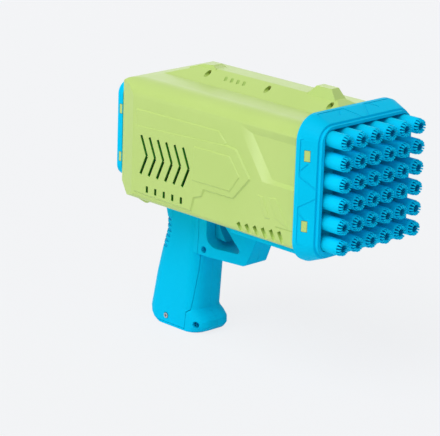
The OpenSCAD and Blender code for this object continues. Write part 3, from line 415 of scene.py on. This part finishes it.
def one_nozzle(length, teeth=14):
    """One nozzle on its axis X: a tube with a shoulder and a crown of slotted teeth round its bore.
    The profiles are radii and places along X, in mm."""
    outer = [(6.1, -0.2), (6.1, length - 3.3), (6.0, length - 3.05), (5.7, length - 2.9)]
    tooth = [(5.65, length - 2.7), (5.5, length - 0.5), (5.0, length), (3.4, length),
             (2.8, length - 0.7)]
    gap = [(5.6, length - 3.0), (4.6, length - 3.2), (2.8, length - 3.8)]
    bore = [(BORE_R, length - 4.4), (BORE_R, -2.0)]
    sector = math.tau / teeth
    turns = [(0.0, "t"), (0.25, "t"), (0.5, "t"), (0.5, "g"), (0.75, "g"), (1.0, "g")]
    bm = bmesh.new()

    def ring(angle, profile):
        y, z = math.cos(angle) * MM, math.sin(angle) * MM
        return [bm.verts.new((x * MM, r * y, r * z)) for r, x in profile]

    tooth_profile = outer + tooth + bore
    gap_profile = outer + gap + bore
    for i in range(teeth):
        rows = [ring((i + t) * sector, tooth_profile if k == "t" else gap_profile)
                for t, k in turns]
        for a, b in zip(rows, rows[1:]):
            if len(a) == len(b):
                for j in range(len(a) - 1):
                    bm.faces.new((a[j], b[j], b[j + 1], a[j + 1]))
        for angle in (i * sector, (i + 0.5) * sector):
            bm.faces.new(ring(angle, outer[-1:] + tooth + bore[:1] + gap[::-1]))
    bmesh.ops.remove_doubles(bm, verts=bm.verts, dist=2e-6)
    bmesh.ops.recalc_face_normals(bm, faces=bm.faces)
    for f in bm.faces:
        f.smooth = True
    mesh = bpy.data.meshes.new("one_nozzle")
    bm.to_mesh(mesh)
    bm.free()
    mesh.set_sharp_from_angle(angle=math.radians(35))
    return object_from("one_nozzle", mesh)


def nozzle_plate_back(half, corner, thick, sides=20, steps=6):
    """Flat plate behind the nozzles, with a hole for each bore."""
    bm = bmesh.new()
    flat = half - corner
    edge = []
    for cy, cz, a0 in ((1, -1, -90), (1, 1, 0), (-1, 1, 90), (-1, -1, 180)):
        for k in range(steps + 1):
            a = math.radians(a0 + 90 / steps * k)
            edge.append((flat * cy + corner * math.cos(a), flat * cz + corner * math.sin(a)))
    faces = PLATE_X, PLATE_X - thick
    loops = [[bm.verts.new((x * MM, y * MM, (AXIS_Z + z) * MM)) for y, z in edge] for x in faces]
    front, back = loops
    n = len(edge)
    for i in range(n):
        bm.faces.new((front[i], back[i], back[(i + 1) % n], front[(i + 1) % n]))
    rims = [[bm.edges.get((loop[i], loop[(i + 1) % n])) for i in range(n)] for loop in loops]
    middle = (NOZZLE_ROWS - 1) / 2
    for row in range(NOZZLE_ROWS):
        for column in range(NOZZLE_ROWS):
            y = (column - middle) * NOZZLE_PITCH
            z = AXIS_Z + (row - middle) * NOZZLE_PITCH
            hole = []
            for rim, x in zip(rims, faces):
                loop = [bm.verts.new((x * MM, (y + BORE_R * math.cos(math.tau * k / sides)) * MM,
                                      (z + BORE_R * math.sin(math.tau * k / sides)) * MM))
                        for k in range(sides)]
                for k in range(sides):
                    rim.append(bm.edges.new((loop[k], loop[(k + 1) % sides])))
                hole.append(loop)
            near, away = hole
            for k in range(sides):
                after = (k + 1) % sides
                bm.faces.new((near[k], near[after], away[after], away[k]))
    for rim in rims:
        bmesh.ops.triangle_fill(bm, use_beauty=True, use_dissolve=False, edges=rim)
    bmesh.ops.recalc_face_normals(bm, faces=bm.faces)
    mesh = bpy.data.meshes.new("nozzle_plate_back")
    bm.to_mesh(mesh)
    bm.free()
    mesh.set_sharp_from_angle(angle=math.radians(30))
    return object_from("nozzle_plate_back", mesh)


def nozzle_field(plate, nozzle):
    """Geometry Nodes: sets a nozzle at each place of a square grid on the plate."""
    tree = bpy.data.node_groups.new("nozzle_field", "GeometryNodeTree")
    face = tree.interface
    face.new_socket("Plate", in_out="INPUT", socket_type="NodeSocketGeometry")
    wanted = {
        "Nozzle": ("NodeSocketObject", nozzle),
        "Rows": ("NodeSocketInt", NOZZLE_ROWS),
        "Pitch": ("NodeSocketFloat", NOZZLE_PITCH * MM),
        "Centre": ("NodeSocketVector", (PLATE_X * MM, 0.0, AXIS_Z * MM)),
        "Plastic": ("NodeSocketMaterial", nozzle_lit_and_shaded_blue),
    }
    for name, (kind, value) in wanted.items():
        face.new_socket(name, in_out="INPUT", socket_type=kind).default_value = value
    face.new_socket("Field", in_out="OUTPUT", socket_type="NodeSocketGeometry")

    def add(kind, settings=(), **sockets):
        node = tree.nodes.new(kind)
        for key, value in dict(settings).items():
            setattr(node, key, value)
        for key, value in sockets.items():
            socket = node.inputs[key.replace("_", " ")]
            if isinstance(value, bpy.types.NodeSocket):
                tree.links.new(value, socket)
            else:
                socket.default_value = value
        return node

    given = tree.nodes.new("NodeGroupInput").outputs
    gaps = add("ShaderNodeMath", {"operation": "SUBTRACT"})
    tree.links.new(given["Rows"], gaps.inputs[0])
    gaps.inputs[1].default_value = 1
    span = add("ShaderNodeMath", {"operation": "MULTIPLY"})
    tree.links.new(gaps.outputs[0], span.inputs[0])
    tree.links.new(given["Pitch"], span.inputs[1])
    grid = add("GeometryNodeMeshGrid", Size_X=span.outputs[0], Size_Y=span.outputs[0],
               Vertices_X=given["Rows"], Vertices_Y=given["Rows"])
    stood = add("GeometryNodeTransform", Geometry=grid.outputs["Mesh"],
                Translation=given["Centre"], Rotation=(0.0, math.radians(90), 0.0))
    shape = add("GeometryNodeObjectInfo", Object=given["Nozzle"])
    set_out = add("GeometryNodeInstanceOnPoints", Points=stood.outputs[0],
                  Instance=shape.outputs["Geometry"])
    real = add("GeometryNodeRealizeInstances", Geometry=set_out.outputs[0])
    joined = add("GeometryNodeJoinGeometry")
    tree.links.new(real.outputs[0], joined.inputs[0])
    tree.links.new(given["Plate"], joined.inputs[0])
    coat = add("GeometryNodeSetMaterial", Geometry=joined.outputs[0], Material=given["Plastic"])
    out = tree.nodes.new("NodeGroupOutput")
    tree.links.new(coat.outputs[0], out.inputs[0])

    field = plate.modifiers.new("nozzles", "NODES")
    field.node_group = tree
    for item in face.items_tree:
        if item.in_out == "INPUT" and item.name in wanted:
            field[item.identifier] = wanted[item.name][1]
    made_plain(plate)
    plate.name = "nozzle_field"
    shape_mesh = nozzle.data
    bpy.data.objects.remove(nozzle)
    bpy.data.meshes.remove(shape_mesh)
    return plate


# The grip, battery cover and trigger take darker copies of the blue plastic, as painted shade
MOULDINGS = (
    ("right_shell", green, "blower", "green_plastic"),
    ("left_shell", green, "blower", "green_plastic"),
    ("front_bezel", blue, "blower", "blue_plastic"),
    ("rear_cap", blue, "blower", "blue_plastic"),
    ("right_grip", grip_shaded_blue, "blower", "blue_plastic"),
    ("left_grip", grip_shaded_blue, "blower", "blue_plastic"),
    ("battery_cover", grip_shaded_blue, "battery_door", "blue_plastic"),
    ("trigger", trigger_shaded_blue, "trigger", "blue_plastic"),
)
for node, finish, body, slot in MOULDINGS:
    dressed(moulding(node), finish, body, node)

plate = nozzle_plate_back(half=48.1, corner=8, thick=2.6)
nozzle = one_nozzle(MUZZLE_X - PLATE_X - 0.05)
dressed(nozzle_field(plate, nozzle), nozzle_lit_and_shaded_blue, "blower", "nozzle_plate")

return_spring = springs("return_spring", [((-9.95, 0, 43), (1, 0, 0), 17.9, (3.1, 3.1), 0.45, 9)])
dressed(return_spring, steel, "blower", "trigger_spring")
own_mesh(return_spring)

# Each cell spring stands on the low or the high plate of the tray, at its cell's X and Y
LOW, HIGH = (-39.8, (0, 0, 1)), (15.8, (0, 0, -1))
CELL_SPRINGS = (-12.75, -7.25, LOW), (-12.75, 7.25, HIGH), (1.75, -7.25, HIGH), (1.75, 7.25, LOW)
cell_springs = springs("cell_springs", [((x, y, z), way, 4.0, (3.4, 2.2), 0.3, 4)
                                        for x, y, (z, way) in CELL_SPRINGS])
dressed(cell_springs, steel, "blower", "contact_springs")

# The screws' dark and olive finishes are partly painted shade for the holes they sit in
FINISHES = {
    "shell_screws": yellow_zinc_hole_shade, "grip_screws": dark_steel_hole_shade, "belly_screws": dark_steel_hole_shade,
    "battery_cover_screw": steel, "motor": steel, "motor_shaft": steel, "battery_contacts": steel,
    "motor_terminals": brass,
    "switch_carrier": inner, "battery_tray": inner, "fan_frame": inner,
    "switch_body": black, "batteries": sleeve,
    "switch_plunger": white, "motor_end_bell": white, "fan_impeller": white,
    "red_lead": red_pvc, "black_lead": black_pvc,
}
for node, finish in FINISHES.items():
    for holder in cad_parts[node].material_slots:
        holder.material = finish


def look_through_camera():
    """The photograph's viewpoint, worked out from the object's own corners. The middle of the
    muzzle is seen at a known pixel, and lengths in the picture are in pixels."""
    turn, lift, roll = math.radians(44.73), math.radians(16.93), math.radians(1.96)
    reach, focal = 1.68346, 2258.88
    muzzle = Vector((193, 0, AXIS_Z)) * MM
    muzzle_pixel = 382.42, 187.14
    back = Vector((math.sin(turn) * math.cos(lift), -math.cos(turn) * math.cos(lift), math.sin(lift)))
    right = Vector((math.cos(turn), math.sin(turn), 0))
    up = back.cross(right)
    level_right = math.cos(roll) * right + math.sin(roll) * up
    level_up = -math.sin(roll) * right + math.cos(roll) * up
    across = (muzzle_pixel[0] - PICTURE_W / 2) / focal * reach
    above = (PICTURE_H / 2 - muzzle_pixel[1]) / focal * reach
    place = back * reach - level_right * across - level_up * above + muzzle
    data = bpy.data.cameras.new("camera")
    data.sensor_width = 36
    data.lens = focal / PICTURE_W * data.sensor_width
    data.clip_end = 50
    camera = bpy.data.objects.new("camera", data)
    bpy.context.scene.collection.objects.link(camera)
    turned = Matrix((level_right, level_up, back)).transposed().to_4x4()
    camera.matrix_world = Matrix.Translation(place) @ turned
    bpy.context.scene.camera = camera


PALE = linear(244, 245, 247)


def seen_directly(start):
    """1 for rays from the camera or off shiny and clear surfaces, 0 for rays that carry light."""
    path = start.make("LightPath")
    outs = path.socket.node.outputs
    camera = Wire(start.tree, outs["Is Camera Ray"])
    glossy = Wire(start.tree, outs["Is Glossy Ray"])
    clear = Wire(start.tree, outs["Is Transmission Ray"])
    return start.sum("MAXIMUM", start.sum("MAXIMUM", camera, glossy), clear)


def soft_box(name, way, far, wide, high, bright):
    """A softbox at a distance from the body, facing it, as bright as the strength of a lit surface."""
    lamp = bpy.data.lights.new(name, "AREA")
    lamp.shape = "RECTANGLE"
    lamp.size = wide
    lamp.size_y = high
    lamp.energy = bright * math.pi * wide * high
    box = bpy.data.objects.new(name, lamp)
    bpy.context.scene.collection.objects.link(box)
    middle = Vector((60, 0, AXIS_Z)) * MM
    facing = way.to_track_quat("Z", "Y").to_matrix().to_4x4()
    box.matrix_world = Matrix.Translation(middle + way.normalized() * far) @ facing


def studio():
    """Pale room light from all round, a broad soft lamp high on the right, two softboxes and a
    pale floor."""
    world = bpy.data.worlds.new("studio")
    bpy.context.scene.world = world
    world.use_nodes = True
    world.node_tree.nodes.clear()
    start = Wire(world.node_tree)
    direct = seen_directly(start)
    room = start.make("Background", sockets={"Color": (1.0, 1.0, 1.0, 1.0), "Strength": 0.38})
    backdrop = start.make("Background", sockets={"Color": PALE, "Strength": 1.0})
    both = start.make("MixShader", sockets={0: direct, 1: room, 2: backdrop})
    start.make("OutputWorld", sockets={"Surface": both})

    lamp = bpy.data.lights.new("soft_key", "SUN")
    lamp.energy = 1.75
    lamp.angle = math.radians(50)
    key = bpy.data.objects.new("soft_key", lamp)
    bpy.context.scene.collection.objects.link(key)
    key.rotation_euler = Vector((0.04, -0.6, 0.84)).to_track_quat("Z", "Y").to_euler()
    soft_box("back_box", Vector((-0.67, 0.66, 0.36)), far=2.6, wide=2.2, high=1.3, bright=0.55)
    soft_box("side_box", Vector((-0.38, -0.91, 0.05)), far=2.4, wide=0.7, high=0.5, bright=5.5)

    finish, start, place = new_finish("studio_floor")
    direct = seen_directly(start)
    cloudy = noise(start, place, 3, 2)
    paper = start.make("BsdfDiffuse", sockets={
        "Color": cloudy.tint(linear(243, 244, 246), linear(246, 247, 249))})
    glow = start.make("Emission", sockets={"Color": PALE, "Strength": 1.0})
    shown = start.make("MixShader", sockets={0: direct * 0.9, 1: paper, 2: glow})
    start.make("OutputMaterial", sockets={"Surface": shown})
    mesh = bpy.data.meshes.new("studio_floor")
    far = 12.0
    corners = [(x * far, y * far, FLOOR_Z * MM) for x, y in ((-1, -1), (1, -1), (1, 1), (-1, 1))]
    mesh.from_pydata(corners, [], [(0, 1, 2, 3)])
    mesh.materials.append(finish)
    object_from("studio_floor", mesh)


look_through_camera()
studio()
bpy.context.scene.view_settings.view_transform = "Standard"
